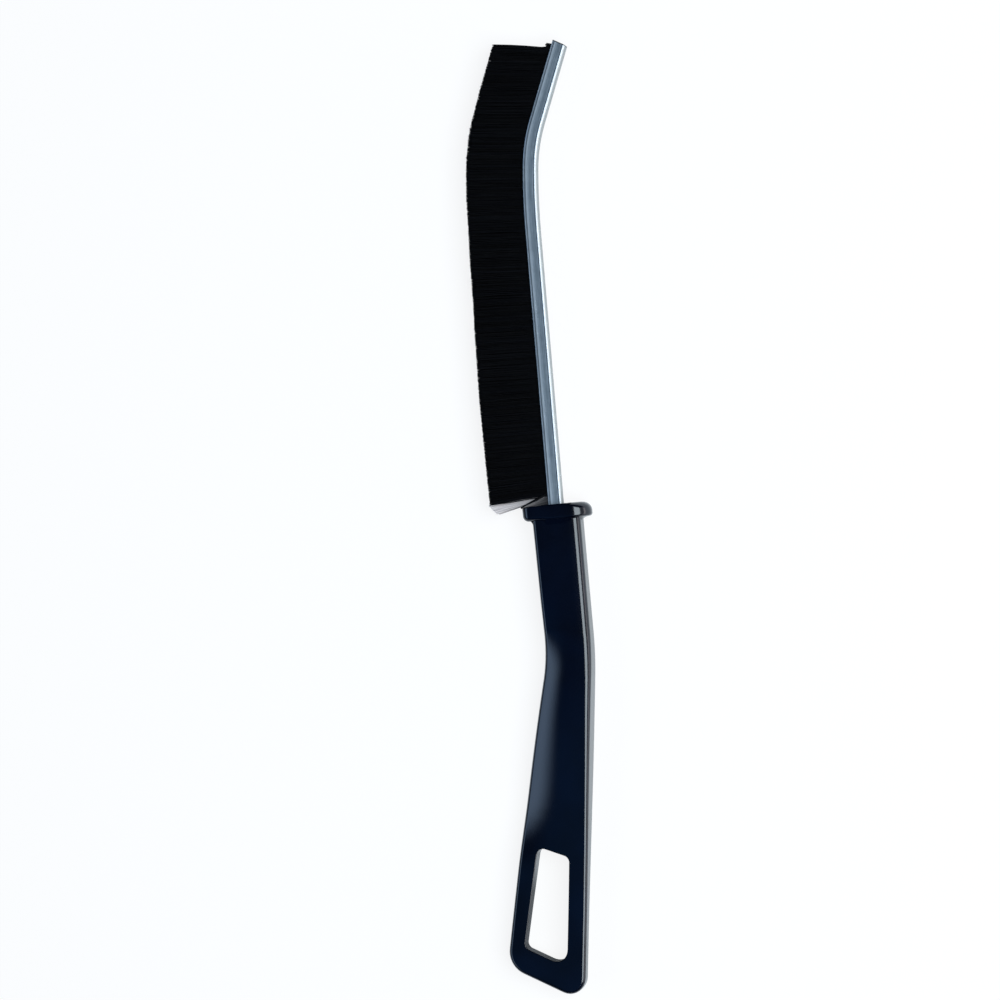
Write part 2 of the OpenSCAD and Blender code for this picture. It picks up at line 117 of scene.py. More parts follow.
def stripCoords(points):
    # the reverse: s and u of drawn points
    p = np.asarray(points, float)[:, :2]
    s = p @ ahead(-lean)
    u = -p @ rightOf(-lean)
    bends = ((wideCentre, strip["wideRadius"], wideFrom, -lean),
        (tightCentre, strip["tightRadius"], tightFrom, midHeading))
    for centre, radius, first, heading in bends:
        v = p - centre
        along = first + radius * (np.arctan2(v[:, 1], -v[:, 0]) - math.radians(heading))
        there = (along > first) & (p[:, 1] > wideFrom / 2)
        s = np.where(there, along, s)
        u = np.where(there, np.hypot(v[:, 0], v[:, 1]) - radius, u)
    v = p - toeStart
    along = toeFrom + v @ ahead(toeHeading)
    there = along > toeFrom
    return np.where(there, along, s), np.where(there, -v @ rightOf(toeHeading), u)


def startFresh():
    if bpy.context.object and bpy.context.object.mode != "OBJECT":
        bpy.ops.object.mode_set(mode="OBJECT")
    bpy.ops.object.select_all(action="DESELECT")


def takeUp(*pieces):
    # selects these pieces only, the first as the active one
    startFresh()
    for piece in pieces:
        piece.select_set(True)
    bpy.context.view_layer.objects.active = pieces[0]


def openEdit():
    bpy.ops.object.mode_set(mode="EDIT")


def closeEdit():
    bpy.ops.object.mode_set(mode="OBJECT")


def pick(kind, test):
    # selects the points, edges or faces that pass the test, which is given drawn millimetres
    mesh = bpy.context.object.data
    bpy.context.tool_settings.mesh_select_mode = (kind == "VERT", kind == "EDGE", kind == "FACE")
    bpy.ops.mesh.select_all(action="DESELECT")
    shape = bmesh.from_edit_mesh(mesh)
    if kind == "VERT":
        found = [v for v in shape.verts if test(drawn(v.co))]
    elif kind == "EDGE":
        found = [e for e in shape.edges if test(drawn(e.verts[0].co), drawn(e.verts[1].co))]
    else:
        found = [f for f in shape.faces if test(drawn(f.calc_center_median()), f.normal)]
    for item in found:
        item.select_set(True)
    bmesh.update_edit_mesh(mesh)
    return len(found)


def pickAll():
    bpy.ops.mesh.select_all(action="SELECT")


def turnSelected(degrees, about):
    # with no window the operator turns clockwise, so the sign is flipped
    bpy.ops.transform.rotate(value=-math.radians(degrees), orient_axis="Z", center_override=about)


def stretchSelected(angle, across, high, about):
    # scales the selection across a direction in the plane of the brush, and in height
    turned = ((math.cos(angle), math.sin(angle), 0), (-math.sin(angle), math.cos(angle), 0), (0, 0, 1))
    bpy.ops.transform.resize(value=(across, 1, high), center_override=about,
        orient_matrix=turned, orient_matrix_type="GLOBAL", orient_type="GLOBAL")


def extrudeSelected(move):
    bpy.ops.mesh.extrude_region_move(TRANSFORM_OT_translate={"value": move})


def bevelSelected(offset, segments):
    bpy.ops.mesh.bevel(offset=offset / 1000, segments=segments, profile=0.5,
        affect="EDGES", clamp_overlap=False)


def mergeDoubles(closer=hair):
    pickAll()
    bpy.ops.mesh.remove_doubles(threshold=closer / 1000)


def faceOutwards():
    pickAll()
    bpy.ops.mesh.normals_make_consistent(inside=False)


def applyPlace():
    bpy.ops.object.transform_apply(location=True, rotation=True, scale=True)


def finishWith(piece, kind, **settings):
    # adds a modifier and applies it
    item = piece.modifiers.new(kind.lower(), kind)
    for key, value in settings.items():
        setattr(item, key, value)
    bpy.context.view_layer.objects.active = piece
    bpy.ops.object.modifier_apply(modifier=item.name)


def roundByReach(piece, reaches, widest, segments, **settings):
    # bevels each edge by its own reach in millimetres, 0 for none
    weights = [reach / widest for reach in reaches]
    piece.data.attributes.new("bevel_weight_edge", "FLOAT", "EDGE").data.foreach_set("value", weights)
    finishWith(piece, "BEVEL", width=widest / 1000, segments=segments, limit_method="WEIGHT",
        offset_type="OFFSET", use_clamp_overlap=False, profile=0.5, **settings)


def smoothShade(piece, degrees, even=True):
    takeUp(piece)
    bpy.ops.object.shade_smooth_by_angle(angle=math.radians(degrees))
    if even:
        finishWith(piece, "WEIGHTED_NORMAL", keep_sharp=True, weight=50)


def settle(piece, name, finish, slot, *nodes):
    # names the piece, gives it its finish, hangs it under the root body and hides the parts it stands in
    # for
    piece.name = name
    piece.data.name = name
    piece.data.materials.clear()
    piece.data.materials.append(finish)
    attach(piece, "root")
    if nodes:
        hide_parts(*nodes)


class Sock:
    # one node socket; plain arithmetic on it adds Math nodes
    def __init__(self, tree, link=None):
        self.tree, self.link = tree, link

    def make(self, kind, settings=None, inputs=None, out=0):
        node = self.tree.nodes.new(kind)
        for name, value in (settings or {}).items():
            setattr(node, name, value)
        for key, value in (inputs or {}).items():
            if isinstance(value, Sock):
                self.tree.links.new(value.link, node.inputs[key])
            else:
                node.inputs[key].default_value = value
        return Sock(self.tree, node.outputs[out])

    def calc(self, operation, *others):
        return self.make("ShaderNodeMath", {"operation": operation}, dict(enumerate((self, *others))))

    def __add__(self, other):
        return self.calc("ADD", other)

    def __mul__(self, other):
        return self.calc("MULTIPLY", other)

    def __sub__(self, other):
        return self.calc("SUBTRACT", other)

    def __rsub__(self, other):
        return self.make("ShaderNodeMath", {"operation": "SUBTRACT"}, {0: other, 1: self})

    __radd__ = __add__
    __rmul__ = __mul__

    def between(self, low, high):
        # 0 below low, 1 above high, smooth in between
        return self.make("ShaderNodeMapRange", {"interpolation_type": "SMOOTHSTEP"},
            {"Value": self, "From Min": low, "From Max": high})

    def near(self, middle, reach):
        # 1 at the middle value, falling to 0 at this distance from it
        return 1 - (self - middle).calc("ABSOLUTE").between(0.0, reach)

    def tint(self, dark, light):
        # a colour between two, by this value
        return self.make("ShaderNodeMix", {"data_type": "RGBA"},
            {0: self, 6: (*dark, 1), 7: (*light, 1)}, out=2)

    def over(self, base, top):
        # blends from one linked colour to another colour by this value
        if isinstance(top, tuple):
            top = (*top, 1)
        return self.make("ShaderNodeMix", {"data_type": "RGBA"}, {0: self, 6: base, 7: top}, out=2)

    def axis(self, k):
        return self.make("ShaderNodeSeparateXYZ", None, {0: self}, out=k)

    def mixShaders(self, first, second):
        return self.make("ShaderNodeMixShader", None, {0: self, 1: first, 2: second})

    def noise(self, place, scale, detail=2.0, rough=0.5, stretch=None):
        if stretch:
            place = self.make("ShaderNodeMapping", None, {"Vector": place, "Scale": stretch})
        return self.make("ShaderNodeTexNoise", None,
            {"Vector": place, "Scale": scale, "Detail": detail, "Roughness": rough})

    def bump(self, strength, distance):
        return self.make("ShaderNodeBump", None,
            {"Strength": strength, "Distance": distance, "Height": self})


def newFinish(name):
    finish = bpy.data.materials.new(name)
    finish.use_nodes = True
    finish.node_tree.nodes.clear()
    start = Sock(finish.node_tree)
    return finish, start, start.make("ShaderNodeTexCoord", out=3)


def closeFinish(start, shader):
    out = start.tree.nodes.new("ShaderNodeOutputMaterial")
    start.tree.links.new(shader.link, out.inputs["Surface"])


# the camera looks down at the brush from a little to its right
view = {"yaw": 11.25, "distance": 947.85, "target": (-7.957, 4.308, 5.0), "pixelsPerMm": 3.78254}

yaw = math.radians(view["yaw"])
toward = Vector((math.sin(yaw), 0, math.cos(yaw)))
lens = bpy.data.cameras.new("camera")
lens.sensor_width = 36
lens.lens = lens.sensor_width * view["pixelsPerMm"] * view["distance"] / 1000  # the image is 1000 wide
lens.clip_start = 0.02
lens.clip_end = 50
camera = bpy.data.objects.new("camera", lens)
bpy.context.scene.collection.objects.link(camera)
camera.location = Vector(view["target"]) / 1000 + toward * view["distance"] / 1000
camera.rotation_euler = (0, yaw, 0)
bpy.context.scene.camera = camera
bpy.context.scene.view_settings.view_transform = "Standard"

# soft boxes to the right; zenith is the tilt from straight up towards -X, far and sizes in metres
lamps = {
    "rightBox": {"zenith": -29, "far": 0.9, "wide": 0.62, "long": 0.80, "power": 11.0,
        "colour": (0.82, 0.93, 1.0)},
    "lowBox": {"zenith": -82, "far": 0.9, "wide": 0.20, "long": 0.90, "power": 1.3,
        "colour": (1.0, 0.95, 0.98)},
}

for lampName, lamp in lamps.items():
    lampData = bpy.data.lights.new(lampName, "AREA")
    lampData.shape = "RECTANGLE"
    lampData.size = lamp["wide"]
    lampData.size_y = lamp["long"]
    lampData.energy = lamp["power"]
    lampData.color = lamp["colour"]
    box = bpy.data.objects.new(lampName, lampData)
    bpy.context.scene.collection.objects.link(box)
    angle = math.radians(lamp["zenith"])
    box.location = (-math.sin(angle) * lamp["far"], 0, math.cos(angle) * lamp["far"])
    box.rotation_euler = (0, -angle, 0)

# the room: dark overhead, a soft blue glow from the left and a dim wall low on the right;
# the camera sees white all round
room = {
    "overhead": ((0.75, 0.90, 1.0), 0.012), "footEnd": ((0.12, 0.40, 1.0), 0.16),
    "leftGlow": ((0.50, 0.70, 1.0), 2.5), "rightWall": ((0.95, 0.96, 1.0), 0.50),
    "glowAt": 48, "glowReach": 23,  # degrees from straight up
    "floorSeen": 0.86, "floorMirrored": 0.21,  # how white the floor is to the camera and in reflections
}

world = bpy.data.worlds.new("studio")
bpy.context.scene.world = world
world.use_nodes = True
world.node_tree.nodes.clear()
sky = Sock(world.node_tree)
outward = sky.make("ShaderNodeTexCoord", out=0)
skyX, skyY, skyZ = (outward.axis(k) for k in (0, 1, 2))
tilt = (0 - skyX).calc("ARCTAN2", skyZ)  # from straight up, towards -X
above = skyZ.between(-0.02, 0.02)
masks = {
    "overhead": above,
    "footEnd": above * (0 - skyY).between(0.03, 0.14) * skyZ.between(0.80, 0.95),
    "leftGlow": above * tilt.near(math.radians(room["glowAt"]), math.radians(room["glowReach"]))
        * (1 - skyY.calc("ABSOLUTE").between(0.35, 0.75)),
    "rightWall": above * skyX.between(0.70, 0.86),
}
around = None
for name, mask in masks.items():
    colour, level = room[name]
    glow = sky.make("ShaderNodeBackground", None, {"Color": (*colour, 1), "Strength": mask * level})
    around = sky.make("ShaderNodeAddShader", None, {0: around, 1: glow}) if around else glow
white = sky.make("ShaderNodeBackground", None, {"Color": (1, 1, 1, 1), "Strength": 1.0})
seen = sky.make("ShaderNodeLightPath", out=0)
skyOut = world.node_tree.nodes.new("ShaderNodeOutputWorld")
world.node_tree.links.new(seen.mixShaders(around, white).link, skyOut.inputs["Surface"])

startFresh()
bpy.ops.mesh.primitive_plane_add(size=12, location=(0, 0, -0.0001))
floor = bpy.context.object
floor.name = "floor"
paper, paperStart, paperPlace = newFinish("paper")
paperGrain = paperStart.noise(paperPlace, 900.0, 3.0)
paperMatt = paperStart.make("ShaderNodeBsdfDiffuse", None, {
    "Color": (paperGrain * 0.02 + 0.90).tint((0, 0, 0), (1, 1, 1)),
    "Normal": paperGrain.bump(0.03, 0.0002)})
paths = [paperStart.make("ShaderNodeLightPath", out=k) for k in (0, 3, 6)]  # camera, glossy, see-through
paperShare = paths[0] * room["floorSeen"] + paths[1] * room["floorMirrored"] + paths[2]
paperShare = paperShare.calc("MINIMUM", 1.0)
paperGlow = paperStart.make("ShaderNodeEmission", None, {"Color": (1, 1, 1, 1), "Strength": 1.0})
closeFinish(paperStart, paperShare.mixShaders(paperMatt, paperGlow))
floor.data.materials.append(paper)
print("camera, light and floor ready")

# near-black navy plastic, with a fine moulded grain and a few light scuffs; the slot's walls take a copy
# that barely reflects, as painted shade in the slot
handleLook = {"dark": (0.0001, 0.0007, 0.0028), "light": (0.0004, 0.0022, 0.0085), "shine": 0.13,
    "slotShadeShare": 0.75}

navy, start, place = newFinish("navyPlastic")
clouds = start.noise(place, 55.0, 3.0)
grain = start.noise(place, 2600.0, 2.0)
scuffs = start.noise(place, 420.0, 4.0, 0.65, (1.0, 0.12, 1.0)).between(0.64, 0.82)
waves = start.noise(place, 38.0, 1.0)
plasticTone = clouds.between(0.3, 0.7).tint(handleLook["dark"], handleLook["light"])
glossy = start.make("ShaderNodeBsdfPrincipled", None, {"Base Color": plasticTone,
    "Roughness": handleLook["shine"] + grain * 0.05 + scuffs * 0.05,
    "IOR": 1.54, "Normal": (grain + waves * 2.0).bump(0.10, 0.00008)})
# painted shade: this copy hardly reflects, standing in for the shade on the slot's walls
slotShadedCopy = start.make("ShaderNodeBsdfPrincipled", None, {"Base Color": plasticTone,
    "Roughness": grain * 0.2 + 0.5, "IOR": 1.54, "Specular IOR Level": 0.02,
    "Normal": grain.bump(0.2, 0.00008)})
slotWall = start.make("ShaderNodeAttribute", {"attribute_name": "slotWall"}, out=2)
closeFinish(start, (slotWall * handleLook["slotShadeShare"]).mixShaders(glossy, slotShadedCopy))

# bare zinc-coated sheet: drawn streaks along the strip and small spangles; painted over them are a bright
# back that is a painted reflection of the floor, shaded darker towards the floor, dark lines of painted
# shade in the groove and before the back, painted highlight and shade across the flange with a light band
# between them, and painted shade at the cut end
zincLook = {"dark": (0.145, 0.18, 0.21), "light": (0.38, 0.425, 0.465), "back": (0.92, 0.94, 0.95),
    "backLowShade": (0.30, 0.315, 0.315), "groove": (0.025, 0.035, 0.05), "cut": (0.02, 0.025, 0.03),
    "shine": 0.36, "backShine": 0.20,
    # the back is a painted reflection of the white floor, and it darkens towards the floor as painted shade
    # below these heights
    "backFade": (0.0054, 0.0070),  # the heights between which the back brightens, in metres
    # how far from the strip's back its painted highlights and shades lie and reach, in millimetres
    "backEdge": (0.08, 0.20), "backShadeLine": (0.43, 0.22), "paintedUpperLight": (0.5, 0.9),
    "paintedLowerLight": (1.3, 2.4), "paintedLightBand": (2.42, 0.30), "grooveShadeLine": (2.82, 0.20),
    "cutFade": (0.34, 0.16)}  # from the toe's end

zinc, start, place = newFinish("zincSheet")
stripMap = start.make("ShaderNodeUVMap", {"uv_map": "strip"})
along, depth = stripMap.axis(0), stripMap.axis(1)
streaks = start.noise(stripMap, 1.0, 4.0, 0.6, (0.10, 4.5, 1.0))
fineStreaks = start.noise(stripMap, 1.0, 3.0, 0.6, (0.8, 20.0, 1.0))
spangle = start.noise(place, 520.0, 3.0, 0.6)
# painted highlight and shade: the flange is lighter near the back and towards the groove, with a light band
# beside the groove, and darker in between
paintedFlangeShade = depth.between(*zincLook["paintedLowerLight"]) * 0.36 + depth.near(*zincLook["paintedLightBand"]) * 0.30
paintedFlangeShade = paintedFlangeShade + (1 - depth.between(*zincLook["paintedUpperLight"])) * 0.26
grainShade = streaks.between(0.28, 0.72) * 0.34 + fineStreaks.between(0.3, 0.7) * 0.16 + spangle * 0.22
shade = grainShade + paintedFlangeShade - 0.12
# painted shade: dark lines lie in the groove and just before the back, and the back gets a bright painted
# reflection
onBack = 1 - depth.between(*zincLook["backEdge"])
paintedShadeLines = depth.near(*zincLook["grooveShadeLine"]) * 0.8 + depth.near(*zincLook["backShadeLine"])
paintedShadeLines = paintedShadeLines.calc("MINIMUM", 1.0)
# painted shade: a dark line over the last few tenths of a millimetre before the toe's cut end
paintedCutShade = along - depth * math.tan(math.radians(strip["toeCut"]))
paintedCutShade = paintedCutShade.between(*(toeEnd - before for before in zincLook["cutFade"]))
sheetTone = shade.between(0.0, 1.0).tint(zincLook["dark"], zincLook["light"])
# painted reflection and painted shade: the back's bright floor reflection darkens towards the floor
paintedBackReflection = place.axis(2).between(*zincLook["backFade"]).tint(zincLook["backLowShade"], zincLook["back"])
sheetTone = onBack.over(paintedShadeLines.over(sheetTone, zincLook["groove"]), paintedBackReflection)
closeFinish(start, start.make("ShaderNodeBsdfPrincipled", None, {
    "Base Color": paintedCutShade.over(sheetTone, zincLook["cut"]), "Metallic": 1.0,
    "Roughness": zincLook["shine"] + fineStreaks * 0.08 + spangle * 0.10
        - onBack * (zincLook["shine"] - zincLook["backShine"]),
    "Normal": (fineStreaks * 0.35 + streaks * 0.3 + spangle * 0.35).bump(0.3, 0.00008)}))

steel, start, place = newFinish("coreSteel")
drawLines = start.noise(place, 1500.0, 3.0, 0.6, (1.0, 0.04, 1.0))
closeFinish(start, start.make("ShaderNodeBsdfPrincipled", None, {
    "Base Color": drawLines.between(0.3, 0.7).tint((0.30, 0.30, 0.31), (0.46, 0.46, 0.47)),
    "Metallic": 1.0, "Roughness": 0.3 + drawLines * 0.2, "Normal": drawLines.bump(0.2, 0.00003)}))


def filamentFinish(name, dark, light, shine, gloss):
    finish, start, place = newFinish(name)
    tone = start.make("ShaderNodeAttribute", {"attribute_name": "tone"}, out=2)
    ridges = start.noise(place, 5200.0, 2.0)
    closeFinish(start, start.make("ShaderNodeBsdfPrincipled", None, {
        "Base Color": (tone * (ridges * 0.4 + 0.8)).tint(dark, light),
        "Roughness": shine + ridges * 0.12 + tone * 0.08, "Specular IOR Level": gloss,
        "Normal": ridges.bump(0.15, 0.00002)}))
    return finish


# the grey filament's light colour is a painted sheen: the filaments are black and glint light grey
filamentLook = {
    "blackFilament": ((0.0003, 0.0003, 0.0006), (0.0013, 0.0015, 0.0026), 0.5, 0.07),
    "paintedSheenFilament": ((0.004, 0.004, 0.006), (0.79, 0.70, 0.67), 0.45, 0.3),
}
blackFilament, paintedSheenFilament = (filamentFinish(name, *look) for name, look in filamentLook.items())
print("finishes ready")

handle = {
    "neckWidth": 12.7, "neckThick": 8.0, "neckOffset": 0.15, "waistAt": 38.8, "waistWidth": 12.1,
    "spineBulge": 8.3, "spineLean": 1.25, "length": 128.2, "endWidth": 20.8, "endSlope": 23.6,
    "heelRadius": 6.4, "tailRadius": 4.2, "waistFrontRadius": 55.0, "waistBackRadius": 110.0,
    "frontBow": 0.4, "gripThick": 9.2, "gripAt": 53.5, "endThick": 5.0, "flatAt": 111.5,
    "frontRounding": 1.1, "endRounding": 1.0, "neckRounding": 1.7, "spineRounding": 0.95,
    "neckTo": (50.0, 66.0),  # where the neck's rounding gives way to the spine's
    "neckFrom": 1.55,  # the neck starts this far down, inside the collar
    "rimFrom": 3.0, "widest": 2.6,  # where the rounded rim starts, and the most that it may reach
}
# both sides are drawn on columns across the handle: the front of the grip falls away in a shallow
# crown, and the back of the neck in a narrow shoulder
crown = {"columns": (0, 0.16, 0.29, 0.42, 0.56, 0.72, 0.86, 1), "rise": (26.0, 44.0),
    "fade": (76.0, 96.0), "deep": (1.7, 2.2), "wide": (7.8, 11.0), "widens": (44.0, 80.0)}
shoulder = {"deep": 0.62, "wide": 1.8, "fade": (28.0, 50.0)}


def filletReach(a, b, c, radius):
    # how far a fillet of this radius reaches along both sides of the corner b
    return radius * math.tan(math.acos(float(unit(b - a) @ unit(c - b))) / 2)


def cornerArc(a, b, c, radius, steps):
    d1, d2 = unit(b - a), unit(c - b)
    turn = math.acos(float(d1 @ d2))
    sign = 1 if d1[0] * d2[1] - d1[1] * d2[0] > 0 else -1
    start = b - d1 * filletReach(a, b, c, radius)
    centre = start + sign * radius * np.array((-d1[1], d1[0]))
    first = math.atan2(*(start - centre)[::-1])
    return [centre + radius * np.array((math.cos(first + sign * turn * i / steps),
        math.sin(first + sign * turn * i / steps))) for i in range(steps + 1)]


def gripThick(y):
    if -y < handle["gripAt"]:
        return ease(handle["neckThick"], handle["gripThick"], -y / handle["gripAt"])
    return ease(handle["gripThick"], handle["endThick"],
        (-y - handle["gripAt"]) / (handle["flatAt"] - handle["gripAt"]))


def easeOver(pair, span, y):
    return ease(*pair, (-y - span[0]) / (span[1] - span[0]))


def skinDrop(y, fromFront, fromBack):
    # how much lower the skin lies than the middle of the handle
    swell = easeOver((0, 1), crown["rise"], y) * easeOver((1, 0), crown["fade"], y)
    deep, wide = (easeOver(crown[key], crown["widens"], y) for key in ("deep", "wide"))
    front = deep * swell * max(0.0, 1 - fromFront / wide) ** 2
    shoulderDeep = easeOver((shoulder["deep"], 0), shoulder["fade"], y)
    return front + shoulderDeep * max(0.0, 1 - fromBack / shoulder["wide"]) ** 2


def rimRadius(y, onFront):
    if onFront:
        belowGrip = -y - handle["gripAt"]
        return ease(handle["frontRounding"], handle["endRounding"], belowGrip / handle["gripAt"])
    return easeOver((handle["neckRounding"], handle["spineRounding"]), handle["neckTo"], y)


neckMid = handle["neckOffset"] - strip["height"] / 2
neckTop = -handle["neckFrom"] * ahead(-lean)
neckFront = neckTop + (neckMid - handle["neckWidth"] / 2) * rightOf(-lean)
neckBack = neckTop + (neckMid + handle["neckWidth"] / 2) * rightOf(-lean)
waistBack = np.array((handle["spineBulge"], -handle["waistAt"]))
waistFront = waistBack - (handle["waistWidth"], 0)
tailY = -handle["length"] - handle["tailRadius"] * (math.tan(math.radians(45 + handle["endSlope"] / 2)) - 1)
spineX = handle["spineBulge"] + math.tan(math.radians(handle["spineLean"])) * (tailY + handle["waistAt"])
tailCorner = np.array((spineX, tailY))
heelCorner = tailCorner + handle["endWidth"] * np.array((-1, math.tan(math.radians(handle["endSlope"]))))

# rungs across the handle, from the neck down and round both corners of the lower end
frontBend = cornerArc(neckFront, waistFront, heelCorner, handle["waistFrontRadius"], 10)
backBend = cornerArc(neckBack, waistBack, tailCorner, handle["waistBackRadius"], 10)
heelArc = cornerArc(waistFront, heelCorner, tailCorner, handle["heelRadius"], 9)
tailArc = cornerArc(waistBack, tailCorner, heelCorner, handle["tailRadius"], 9)
neckSteps, gripSteps = 4, 22
rungs = [(neckFront + (frontBend[0] - neckFront) * i / neckSteps,
    neckBack + (backBend[0] - neckBack) * i / neckSteps) for i in range(neckSteps)]
rungs += list(zip(frontBend, backBend))
for i in range(1, gripSteps):
    t = i / gripSteps
    bow = np.array((-4 * handle["frontBow"] * t * (1 - t), 0))
    rungs.append((frontBend[-1] + (heelArc[0] - frontBend[-1]) * t + bow,
        backBend[-1] + (tailArc[0] - backBend[-1]) * t))
rungs += list(zip(heelArc, tailArc))


def rungShape(rung):
    # the middle, angle, width and thickness of the handle at a rung
    front, back = rung
    middle = (front + back) / 2
    return middle, math.atan2(*(back - front)[::-1]), np.linalg.norm(back - front), gripThick(middle[1])


startFresh()
middle, angle, width, thick = rungShape(rungs[0])
bpy.ops.mesh.primitive_grid_add(x_subdivisions=len(crown["columns"]) - 1, y_subdivisions=1, size=1,
    location=spot(*middle), rotation=(math.pi / 2, 0, angle))
grip = bpy.context.object
grip.scale = size(width, thick, 1000)
applyPlace()
openEdit()
for i, share in enumerate(crown["columns"][1:-1], 1):
    # the columns start evenly spread and are moved to their own shares of the width
    even = rungs[0][0] + (rungs[0][1] - rungs[0][0]) * i / (len(crown["columns"]) - 1)
    wanted = rungs[0][0] + (rungs[0][1] - rungs[0][0]) * share
    pick("VERT", lambda p: np.hypot(*(p[:2] - even)) < touch)
    bpy.ops.transform.translate(value=flat(wanted - even) / 1000)
pickAll()
for rung in rungs[1:]:
    nextMiddle, nextAngle, nextWidth, nextThick = rungShape(rung)
    extrudeSelected(flat(nextMiddle - middle) / 1000)
    turnSelected(math.degrees(nextAngle - angle), spot(*nextMiddle))
    stretchSelected(nextAngle, nextWidth / width, nextThick / thick, spot(*nextMiddle))
    middle, angle, width, thick = nextMiddle, nextAngle, nextWidth, nextThick
for front, back in rungs:
    for share in crown["columns"]:
        place = front + (back - front) * share
        wide = np.linalg.norm(back - front)
        drop = skinDrop(place[1], share * wide, (1 - share) * wide)
        if drop > hair / 2:
            pick("VERT", lambda p: np.hypot(*(p[:2] - place)) < 2 * hair)
            high = gripThick((front + back)[1] / 2) / 2
            bpy.ops.transform.resize(value=(1, 1, (high - drop) / high), center_override=spot(*place))
for up in (1, -1):
    # the lower end is flat, so its faces are joined into one a side
    pick("FACE", lambda p, n: n.z * up > 0.9999 and abs(p[2] * up - handle["endThick"] / 2) < hair / 10)
    bpy.ops.mesh.dissolve_faces(use_verts=True)
faceOutwards()
closeEdit()

# the rim is rounded all round, by a radius that changes along the handle
sidesOf = {}
for face in grip.data.polygons:
    for key in face.edge_keys:
        sidesOf.setdefault(key, []).append(face.normal.copy())
reaches = []
for edge in grip.data.edges:
    a, b = (drawn(grip.data.vertices[i].co) for i in edge.vertices)
    upright, level = sorted(sidesOf[edge.key], key=lambda n: abs(n.z))
    y = (a + b)[1] / 2
    isRim = abs(upright.z) < 0.3 and abs(level.z) > 0.75 and y < -handle["rimFrom"]
    reach = rimRadius(y, upright.x < 0) * math.tan(upright.angle(level) / 2)
    reaches.append(reach if isRim else 0)
roundByReach(grip, reaches, handle["widest"], 7, miter_outer="MITER_SHARP")

# the hang slot is cut with a prism whose upright edges are rounded
slot = {"corners": ((-9.712, -116.329), (1.599, -121.271), (2.232, -92.271), (-6.181, -89.618)),
    "radii": (1.8, 3.2, 1.8, 1.8), "rim": 0.25, "cutter": 10.0, "wallReach": 0.08, "wallEnd": 0.1}

startFresh()
slotMid, slotHalf = np.mean(slot["corners"], axis=0), slot["cutter"] / 2
bpy.ops.mesh.primitive_cube_add(size=1, location=spot(*slotMid))
cutter = bpy.context.object
cutter.scale = size(slot["cutter"], slot["cutter"], 2.4 * slot["cutter"])
applyPlace()
openEdit()
corners = [np.array(c) for c in slot["corners"]]
for corner, away in zip(corners, ((-1, -1), (1, -1), (1, 1), (-1, 1))):
    at = slotMid + np.array(away) * slotHalf
    pick("VERT", lambda p: np.hypot(*(p[:2] - at)) < touch)
    bpy.ops.transform.translate(value=flat(corner - at) / 1000)
for i, radius in enumerate(slot["radii"]):
    pick("EDGE", lambda a, b: abs(a[2] - b[2]) > 1 and np.hypot(*(a[:2] - corners[i])) < touch)
    bevelSelected(filletReach(corners[i - 1], corners[i], corners[(i + 1) % 4], radius), 10)
closeEdit()
finishWith(grip, "BOOLEAN", operation="DIFFERENCE", object=cutter, solver="EXACT", use_self=True)
bpy.data.objects.remove(cutter)


def insideSlot(p, margin):
    for i in range(4):
        d = unit(corners[(i + 1) % 4] - corners[i])
        if (p[:2] - corners[i]) @ np.array((-d[1], d[0])) < -margin:
            return False
    return True


takeUp(grip)
openEdit()
rimEdges = pick("EDGE", lambda a, b: insideSlot(a, touch) and insideSlot(b, touch) and a[2] * b[2] > 0
    and abs(a[2]) > 1.5 and abs(b[2]) > 1.5)
bevelSelected(slot["rim"], 3)
mergeDoubles(hair / 5)
closeEdit()
points = [drawn(v.co) for v in grip.data.vertices]
wallTop = handle["endThick"] / 2 - slot["wallEnd"]
onWall = [float(insideSlot(p, slot["wallReach"]) and abs(p[2]) < wallTop) for p in points]
grip.data.attributes.new("slotWall", "FLOAT", "POINT").data.foreach_set("value", onWall)
smoothShade(grip, 28)
settle(grip, "handleGrip", navy, "handle_plastic", "handle")
print("grip ready,", len(grip.data.polygons), "faces,", rimEdges, "slot rim edges")

# the collar: a rounded block whose underside flares down into the neck; the loops round its top and
# underside are bevelled more and more from the middle towards the bristle side and the back
collar = {"width": 17.85, "thick": 10.0, "top": 0.65, "bottom": 3.25, "aside": 0.22, "backRadius": 4.6,
    "frontRadius": 1.8, "faceEdge": 0.35, "topEdges": (0.6, 2.5), "underEdges": (1.5, 0.85),
    "flare": 2.8, "tilt": 2.5, "turn": 0.9,
    "cutPitch": 0.9, "growFrom": 2.0, "growOver": 6.0, "flareCurve": 2.4, "sink": (0.3, 1.4),
    "underReach": 8.0}

startFresh()
collarMid = (neckMid + collar["aside"]) * rightOf(-lean)
collarMid = collarMid + (collar["top"] - collar["bottom"]) / 2 * ahead(-lean)
bpy.ops.mesh.primitive_cube_add(size=1, location=spot(*collarMid), rotation=(0, 0, math.radians(lean)))
collarBlock = bpy.context.object
collarBlock.scale = size(collar["width"], collar["top"] + collar["bottom"], collar["thick"])
applyPlace()
openEdit()


def alongNeck(p):
    # how far a drawn point lies below the root point, and how far aside of the collar's middle
    return -(p[:2] @ ahead(-lean)), (p[:2] - collarMid) @ rightOf(-lean)


